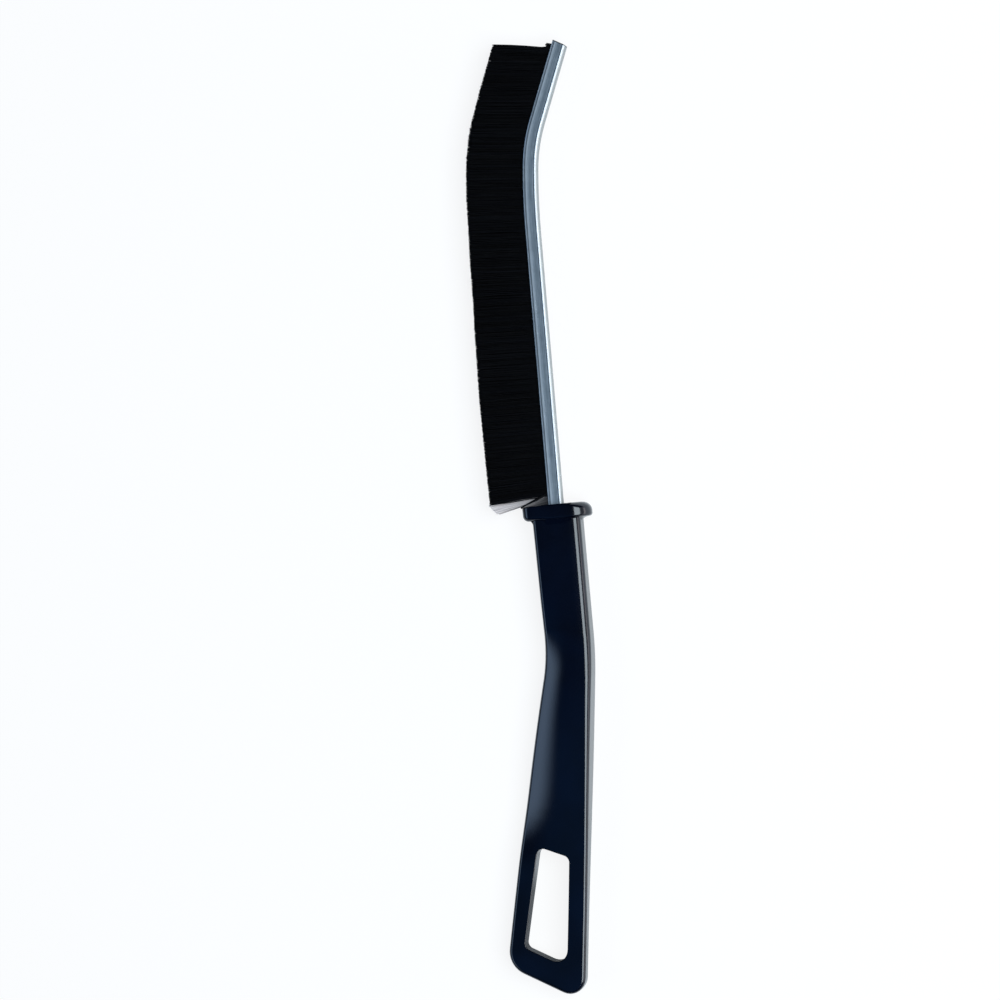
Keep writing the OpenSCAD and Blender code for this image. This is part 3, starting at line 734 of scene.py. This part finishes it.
for radius, side in ((collar["backRadius"], 1), (collar["frontRadius"], -1)):
    pick("EDGE", lambda a, b: abs(alongNeck(a)[0] - alongNeck(b)[0]) > 1
        and alongNeck(a)[1] * side > collar["width"] / 2 - touch)
    bevelSelected(radius, 10)
for k in range(1, 5):
    # cuts across the flats, so that the rounding can grow towards the ends
    for aside in (-collar["cutPitch"] * k, collar["cutPitch"] * k):
        pickAll()
        cutAt = spot(*(collarMid + aside * rightOf(-lean)))
        bpy.ops.mesh.bisect(plane_co=cutAt, plane_no=flat(rightOf(-lean)))
closeEdit()
reaches = []
for edge in collarBlock.data.edges:
    ends = [drawn(collarBlock.data.vertices[i].co) for i in edge.vertices]
    a, b = (alongNeck(p) for p in ends)
    onTop = max(a[0], b[0]) < hair - collar["top"]
    onUnder = min(a[0], b[0]) > collar["bottom"] - hair
    across = (a[1] + b[1]) / 2
    reach = min(abs(a[1]), abs(b[1])) + (collar["backRadius"] if across > 0 else collar["frontRadius"])
    isSide = min(abs(p[2]) for p in ends) > collar["thick"] / 2 - hair
    isLoop = isSide or reach > collar["width"] / 2 - hair
    endRadius = collar["topEdges" if onTop else "underEdges"][across > 0]
    radius = ease(collar["faceEdge"], endRadius, (abs(across) - collar["growFrom"]) / collar["growOver"])
    reaches.append(radius if (onTop or onUnder) and isLoop else 0)
roundByReach(collarBlock, reaches, max(collar["topEdges"]), 6)
openEdit()
pick("FACE", lambda p, n: alongNeck(p)[0] > collar["bottom"] - hair
    and abs(alongNeck(p)[1]) < collar["underReach"])
leftEdge, rightEdge = collar["underEdges"]
under = collar["width"] - leftEdge - rightEdge, collar["thick"] - 2 * collar["faceEdge"]
underAside = collar["aside"] + (leftEdge - rightEdge) / 2
flareTo = handle["neckWidth"] - collar["sink"][0], handle["neckThick"] - collar["sink"][1]
low, aside, wide, thick, turned = collar["bottom"], underAside, *under, 0.0
flareSteps = 8
for i in range(1, flareSteps + 1):
    f = i / flareSteps
    left = (1 - f) ** collar["flareCurve"]
    nextLow, nextAside = collar["bottom"] + collar["flare"] * f * f, underAside * left
    nextWide = flareTo[0] + (under[0] - flareTo[0]) * left
    nextThick = under[1] + (flareTo[1] - under[1]) * f * f
    here = (neckMid + nextAside) * rightOf(-lean) - nextLow * ahead(-lean)
    extrudeSelected(flat((nextAside - aside) * rightOf(-lean) - (nextLow - low) * ahead(-lean)) / 1000)
    stretchSelected(math.radians(lean), nextWide / wide, nextThick / thick, spot(*here))
    turnSelected(collar["tilt"] * (f - turned), spot(*here))
    low, aside, wide, thick, turned = nextLow, nextAside, nextWide, nextThick, f
pick("FACE", lambda p, n: alongNeck(p)[0] < collar["bottom"] + hair)
turnSelected(collar["turn"], spot(*collarMid))
faceOutwards()
closeEdit()
smoothShade(collarBlock, 40)
settle(collarBlock, "handleCollar", navy, "handle_plastic", "handle")
print("collar ready")

# a creased groove runs along both sides of the strip, with a row of punch marks beside it
groove = {"from": 2.66, "to": 2.98, "deep": 0.11, "lip": 0.06}
punch = {"radius": 0.34, "pitch": 1.06, "inset": 2.12, "runs": ((18.6, 33.5), (40.5, 57.5)),
    "deep": (0.03, 0.12), "astray": (0.08, 0.06)}


def bendOn():
    # carries the selected end round both bends and on to the toe
    for steps, turn, centre in ((6, strip["wideTurn"], wideCentre), (14, strip["tightTurn"], tightCentre)):
        bpy.ops.mesh.spin(steps=steps, angle=math.radians(turn), center=spot(*centre), axis=(0, 0, 1))


def stripOf(p):
    s, u = stripCoords([p])
    return s[0], u[0]


startFresh()
stripMid = ahead(-lean) * (wideFrom - strip["tang"]) / 2
bpy.ops.mesh.primitive_plane_add(size=1, location=spot(*stripMid),
    rotation=(0, math.pi / 2, math.radians(lean)))
channelPiece = bpy.context.object
channelPiece.scale = size(strip["width"], wideFrom + strip["tang"], 1000)
applyPlace()
openEdit()
pick("EDGE", lambda a, b: abs(a[2] - b[2]) < hair)
wallAt = strip["width"] / 2
profile = ((groove["from"], wallAt), (groove["from"] + groove["lip"], wallAt - groove["deep"]),
    (groove["to"] - groove["lip"], wallAt - groove["deep"]), (groove["to"], wallAt),
    (strip["height"], wallAt))
high, depthNow = wallAt, 0.0
for depthNext, highNext in profile:
    extrudeSelected(flat(-rightOf(-lean)) * (depthNext - depthNow) / 1000)
    bpy.ops.transform.resize(value=(1, 1, highNext / high), center_override=spot(0, 0))
    high, depthNow = highNext, depthNext
pick("EDGE", lambda a, b: min(stripOf(a)[0], stripOf(b)[0]) > wideFrom - touch)
bendOn()
extrudeSelected(flat(ahead(toeHeading)) * (strip["toe"] + 1) / 1000)
mergeDoubles()
cutFrom = stripPlace(toeEnd, 0.0)
cutTo = stripPlace(toeEnd + strip["height"] * math.tan(math.radians(strip["toeCut"])), strip["height"])
cutAlong = unit(cutTo - cutFrom)
pickAll()
bpy.ops.mesh.bisect(plane_co=spot(*cutFrom), plane_no=(cutAlong[1], -cutAlong[0], 0), clear_outer=True)
pick("EDGE", lambda a, b: max(stripOf(a)[1], stripOf(b)[1]) < 2 * hair and abs(a[2] - b[2]) < hair)
bevelSelected(strip["cornerRadius"], 6)
closeEdit()
finishWith(channelPiece, "SOLIDIFY", thickness=strip["sheet"] / 1000, offset=-1.0, use_even_offset=True)
channelBox = [[round(c * 1000, 2) for c in channelPiece.bound_box[k]] for k in (0, 6)]
openEdit()
faceOutwards()
bpy.context.tool_settings.mesh_select_mode = (False, True, False)
bpy.ops.mesh.select_all(action="DESELECT")
bpy.ops.mesh.edges_select_sharp(sharpness=math.radians(65))
bevelSelected(strip["edgeRounding"], 2)
closeEdit()

# one round punch, copied along the groove and cut out together
startFresh()
bpy.ops.mesh.primitive_ico_sphere_add(subdivisions=2, radius=punch["radius"] / 1000, location=(0, 0, 0))
punchMark = bpy.context.object
punchShape = punchMark.data
marks = []
for first, last in punch["runs"]:
    for s in np.arange(first, last, punch["pitch"]):
        share = (s - first + 0.5) / (last - first + 1)
        deep = rng.uniform(*punch["deep"]) * math.sin(math.pi * share) ** 0.5
        mark = punchMark.copy()
        mark.data = punchShape.copy()
        bpy.context.scene.collection.objects.link(mark)
        astray = [rng.uniform(-reach, reach) for reach in punch["astray"]]
        at = stripPlace(s + astray[0], punch["inset"] + astray[1])
        mark.location = spot(*at, strip["width"] / 2 + punch["radius"] - deep)
        marks.append(mark)
bpy.data.objects.remove(punchMark)
takeUp(*marks)
bpy.ops.object.join()
punches = bpy.context.object
finishWith(channelPiece, "BOOLEAN", operation="DIFFERENCE", object=punches, solver="EXACT")
bpy.data.objects.remove(punches)
smoothShade(channelPiece, 32)


def addStripMap(piece):
    # a flat map in millimetres: along the strip, and from its back
    mesh = piece.data
    layer = mesh.uv_layers.new(name="strip")
    places = np.empty(len(mesh.vertices) * 3)
    mesh.vertices.foreach_get("co", places)
    s, u = stripCoords(places.reshape(-1, 3) * 1000 - rootPoint)
    used = np.empty(len(mesh.loops), int)
    mesh.loops.foreach_get("vertex_index", used)
    layer.data.foreach_set("uv", np.stack((s[used], u[used]), 1).ravel())


settle(channelPiece, "channelStrip", zinc, "zinc_sheet", "channel")
addStripMap(channelPiece)
print("channel ready,", len(channelPiece.data.polygons), "faces, box", channelBox, "mm")

core = {"wire": 1.6, "foldThick": 0.35, "play": 0.04, "short": 1.2, "endRounding": 0.15}
wireDepth = strip["sheet"] + core["foldThick"] + core["wire"] / 2 + core["play"]

startFresh()
wireStart = stripPlace(-strip["tang"], wireDepth)
bpy.ops.mesh.primitive_circle_add(vertices=24, radius=core["wire"] / 2000, fill_type="NGON",
    location=spot(*wireStart), rotation=(-math.pi / 2, 0, math.radians(lean)))
wirePiece = bpy.context.object
applyPlace()
openEdit()
pickAll()
extrudeSelected(flat(ahead(-lean)) * (strip["tang"] + wideFrom) / 1000)
bendOn()
extrudeSelected(flat(ahead(toeHeading)) * (strip["toe"] - core["short"]) / 1000)
bpy.ops.mesh.region_to_loop()
bevelSelected(core["endRounding"], 3)
mergeDoubles()
faceOutwards()
closeEdit()
smoothShade(wirePiece, 40)
settle(wirePiece, "coreWire", steel, "core_steel", "core_wire")
print("core wire ready")

filament = {"thick": 0.27, "varies": (0.9, 1.08), "sides": 5, "cuts": (0.25, 0.5, 0.75), "rootShadeCurve": 1.8}


def strandPattern(sides, cuts, openRoot):
    # one filament from 0 to 1 along Z, as points and faces
    startFresh()
    bpy.ops.mesh.primitive_cylinder_add(vertices=sides, radius=0.5, depth=1, end_fill_type="NGON",
        location=(0, 0, 0.5))
    strand = bpy.context.object
    applyPlace()
    openEdit()
    if openRoot:
        pick("FACE", lambda p, n: n.z < -0.9)
        bpy.ops.mesh.delete(type="ONLY_FACE")
    for cut in cuts:
        pickAll()
        bpy.ops.mesh.bisect(plane_co=(0, 0, cut), plane_no=(0, 0, 1))
    closeEdit()
    points = np.array([v.co[:] for v in strand.data.vertices])
    faces = [np.array(f.vertices) for f in strand.data.polygons]
    bpy.data.objects.remove(strand)
    return points, faces


def copyStrands(name, pattern, line, reference, thick, tones, fade=0.0):
    # copies of one filament as one mesh; line(t) gives each copy's centre, t from root to tip; fade darkens
    # the tones towards the root as painted shade
    points, faces = pattern
    count = len(tones)
    levels = np.unique(np.round(points[:, 2], 6))
    centres = [line(t) for t in levels]
    spin = rng.uniform(0, 2 * math.pi, count)[:, None]
    rings = []
    for k in range(len(levels)):
        forward = centres[min(k + 1, len(levels) - 1)] - centres[max(k - 1, 0)]
        forward /= np.linalg.norm(forward, axis=1, keepdims=True)
        across = np.cross(forward, reference)
        across /= np.maximum(np.linalg.norm(across, axis=1, keepdims=True), 1e-9)
        rings.append((across, np.cross(across, forward)))
    places = np.empty((count, len(points), 3))
    shades = np.empty((count, len(points)))
    for j, p in enumerate(points):
        k = int(np.argmin(abs(levels - p[2])))
        across, up = rings[k]
        away = spin + math.atan2(p[1], p[0])
        places[:, j] = centres[k] + thick[:, None] / 2 * (np.cos(away) * across + np.sin(away) * up)
        # painted shade: the tones darken towards the root
        shades[:, j] = tones * (1 - fade * (1 - levels[k])) ** filament["rootShadeCurve"]
    mesh = bpy.data.meshes.new(name)
    corners = np.concatenate(faces)
    mesh.vertices.add(count * len(points))
    mesh.vertices.foreach_set("co", ((places + rootPoint) / 1000).ravel())
    mesh.loops.add(count * len(corners))
    mesh.loops.foreach_set("vertex_index",
        (corners[None, :] + len(points) * np.arange(count)[:, None]).ravel())
    mesh.polygons.add(count * len(faces))
    starts = np.concatenate(([0], np.cumsum([len(f) for f in faces])[:-1]))
    mesh.polygons.foreach_set("loop_start",
        (starts[None, :] + len(corners) * np.arange(count)[:, None]).ravel())
    mesh.update(calc_edges=True)
    mesh.validate()
    mesh.attributes.new("tone", "FLOAT", "POINT").data.foreach_set("value", shades.ravel())
    piece = bpy.data.objects.new(name, mesh)
    bpy.context.scene.collection.objects.link(piece)
    takeUp(piece)
    openEdit()
    faceOutwards()
    closeEdit()
    smoothShade(piece, 80, even=False)
    return piece


# the stiff black pack: straight filaments that splay a little sideways, cut to one straight edge
bristle = {
    "rootDepth": 2.25, "sideways": 1.72, "rows": 15, "pitch": 0.29, "reach": 16.65, "spread": 3.35,
    "slants": ((2.9, 9.4), (6.5, 7.2), (12, 5.4), (70, 1.6), (123, -2.4)),
    "heelFrom": 3.05, "toeGap": 0.8, "uneven": 0.05, "toeSag": 0.5, "sagOver": 6.0,
    "trims": ((4.3, -0.03), (11.4, -0.19), (19.2, -0.3), (29.6, -0.47), (37.4, -0.35), (47.8, -0.19),
        (55.6, 0.05), (66, 0.11), (73.8, 0.43), (84, 0.4), (94, 0.51), (101.6, 0.22), (109.6, 0.05),
        (120.4, 0.08)),
    "alongScatter": (0.1, 0.4), "slantScatter": 0.006, "sideScatter": 0.06, "tipScatter": 0.10,
    "looseScatter": 0.06, "sway": 0.10, "opening": 1.15,
}
straightStrand = strandPattern(filament["sides"], filament["cuts"], openRoot=True)


def straightTuft(name, node, first, last):
    # a stretch of the pack, between two places along the strip
    columns = int(round((last - first) / bristle["pitch"]))
    rows = bristle["rows"]
    column, row = (k.ravel() for k in np.meshgrid(np.arange(columns), np.arange(rows), indexing="ij"))
    count = len(row)
    column = column + 0.5 * (row % 2) + rng.uniform(*bristle["alongScatter"], count)
    s = np.minimum(first + column * (last - first) / columns, last - 2 * hair)
    side = (2 * (row + 0.5) / rows - 1) * bristle["sideways"]
    side = side + rng.uniform(-bristle["sideScatter"], bristle["sideScatter"], count)
    slant = np.radians(np.interp(s, *zip(*bristle["slants"])))
    slant = slant + rng.normal(0, bristle["slantScatter"], count)
    reach = bristle["reach"] - np.interp(s, *zip(*bristle["trims"]))
    reach = reach + rng.normal(0, bristle["uneven"], count)
    root = np.column_stack((stripPlace(s, np.full(count, bristle["rootDepth"])), side))
    tip = root.copy()
    tip[:, 0] -= reach * np.cos(slant)
    tip[:, 1] -= reach * np.sin(slant)
    tip[:, 2] = side / bristle["sideways"] * bristle["spread"] + rng.normal(0, bristle["tipScatter"], count)
    sway = rng.normal(0, bristle["sway"], (count, 3))
    sway[:, 0] = 0
    sag = bristle["toeSag"] * np.clip((s - toeEnd) / bristle["sagOver"] + 1, 0, 1) ** 2

    def line(t):
        p = root + (tip - root) * t
        p[:, 1] -= sag * math.sin(math.pi * (1 - t) ** 3)
        p[:, 2] = root[:, 2] + (tip[:, 2] - root[:, 2]) * t ** bristle["opening"]
        return p + sway * math.sin(math.pi * t)

    thick = filament["thick"] * rng.uniform(*filament["varies"], count)
    piece = copyStrands(name, straightStrand, line, (0.0, 0.0, 1.0), thick, rng.uniform(0, 1, count) ** 2)
    settle(piece, name, blackFilament, "black_filament", node)
    return count


heelFrom = bristle["heelFrom"]
third = (wideFrom - heelFrom) / 3
stretches = (
    ("tuftHeel", "bristles_heel", heelFrom, heelFrom + third),
    ("tuftLower", "bristles_lower", heelFrom + third, heelFrom + 2 * third),
    ("tuftMiddle", "bristles_middle", heelFrom + 2 * third, wideFrom),
    ("tuftUpper", "bristles_upper", wideFrom, tightFrom),
    ("tuftBend", "bristles_bend", tightFrom, toeFrom),
    ("tuftToe", "bristles_toe", toeFrom, toeEnd - bristle["toeGap"]),
)
total = sum(straightTuft(*stretch) for stretch in stretches)
print("black pack ready,", total, "filaments")

# what stands apart: at the collar a fan of filaments whose light grey is a painted sheen, a few black
# strays and a short grey bundle whose painted sheen is held dark as painted shade, and at the toe a black
# stub; tones run from 0, dark, to 1, and fade towards the root as painted shade
looseEnds = {
    "splayedFan": {"count": 300, "along": (3.0, 3.1), "slants": (18.2, 9.6), "reach": (15.4, 17.0),
        "side": (-1.6, 1.5), "spread": 1.9, "finish": paintedSheenFilament, "tones": (0.66, 0.98), "fade": 0.60},
    "blackStrays": {"count": 26, "along": (4.0, 4.5), "slants": (29.0, 31.0), "reach": (9.0, 9.4),
        "side": (1.3, 1.7), "spread": 1.95, "finish": blackFilament, "tones": (0.0, 0.3), "fade": 0.0},
    "shortBundle": {"count": 210, "along": (0.35, 3.4), "slants": (5.5, 25.5), "reach": (7.8, 8.1),
        "side": (0.0, 1.7), "spread": 1.85, "finish": paintedSheenFilament, "tones": (0.12, 0.40), "fade": 1.0},
    "toeStub": {"count": 40, "along": (120.2, 122.2), "slants": (-6.5, -7.5), "reach": (2.6, 2.75),
        "side": (-1.6, 1.7), "spread": 1.1, "finish": blackFilament, "tones": (0.0, 0.3), "fade": 0.0},
}


def looseStrands(name, look):
    count = look["count"]
    share = np.sort(rng.uniform(0, 1, count))
    s = np.interp(share, (0, 1), look["along"])
    side = rng.uniform(*look["side"], count)
    root = np.column_stack((stripPlace(s, np.full(count, bristle["rootDepth"])), side))
    slant = np.radians(np.interp(share, (0, 1), look["slants"]))
    slant = slant + rng.normal(0, bristle["slantScatter"], count)
    reach = np.interp(share, (0, 1), look["reach"]) + rng.normal(0, bristle["looseScatter"], count)
    tip = root.copy()
    tip[:, 0] -= reach * np.cos(slant)
    tip[:, 1] -= reach * np.sin(slant)
    tip[:, 2] = side * look["spread"]
    sway = rng.normal(0, bristle["looseScatter"], (count, 3))

    def line(t):
        return root + (tip - root) * t + sway * math.sin(math.pi * t)

    thick = filament["thick"] * rng.uniform(*filament["varies"], count)
    tones = rng.uniform(*look["tones"], count)
    return copyStrands(name, straightStrand, line, (0.0, 0.0, 1.0), thick, tones, look["fade"])


for name, look in looseEnds.items():
    piece = looseStrands(name, look)
    hasPaintedSheen = look["finish"] is paintedSheenFilament
    settle(piece, name, look["finish"], "grey_filament" if hasPaintedSheen else "black_filament",
        *(("splayed_filaments",) if name == "splayedFan" else ()))
print("fan, strays, short bundle and toe stub ready")

# the bent middles of the filaments, round the core wire
folds = {"pitch": 0.30, "layers": 3, "thick": 0.26, "cuts": (0.2, 0.32, 0.42, 0.58, 0.68, 0.8),
    "stagger": 0.1, "beside": 0.18, "layerGap": 0.30, "above": 0.5, "under": 0.17,
    "turnAt": 0.42, "widen": 2.4}
alongFolds = np.arange(-strip["tang"] + 0.4, toeEnd - bristle["toeGap"], folds["pitch"])
lower, layer = (k.ravel() for k in np.meshgrid(alongFolds, np.arange(folds["layers"]), indexing="ij"))
lower = np.minimum(lower + folds["stagger"] * layer, toeEnd - bristle["toeGap"] - 2 * hair)
wing = core["wire"] / 2 + folds["beside"] + folds["layerGap"] * layer
foldTop = wireDepth + core["wire"] / 2 + folds["above"]


def foldLine(t):
    # down one side of the wire, under it and up the other side
    q = 2 * t - 1
    rise = max(0.0, (abs(q) - folds["turnAt"]) / (1 - folds["turnAt"]))
    deep = foldTop - (foldTop - strip["sheet"] - folds["under"]) * (1 - rise)
    return np.column_stack((stripPlace(lower, np.full(len(lower), deep)),
        np.sign(q) * wing * min(1.0, abs(q) * folds["widen"])))


tangent = stripPlace(lower + 0.1, 0.0) - stripPlace(lower, 0.0)
tangent = np.column_stack((tangent / np.linalg.norm(tangent, axis=1, keepdims=True), np.zeros(len(lower))))
foldStrand = strandPattern(4, folds["cuts"], openRoot=False)
foldPiece = copyStrands("foldedFilaments", foldStrand, foldLine, tangent,
    np.full(len(lower), folds["thick"]), rng.uniform(0, 0.6, len(lower)))
settle(foldPiece, "foldedFilaments", blackFilament, "black_filament", "filament_folds")
print("folds ready,", len(lower), "folds")
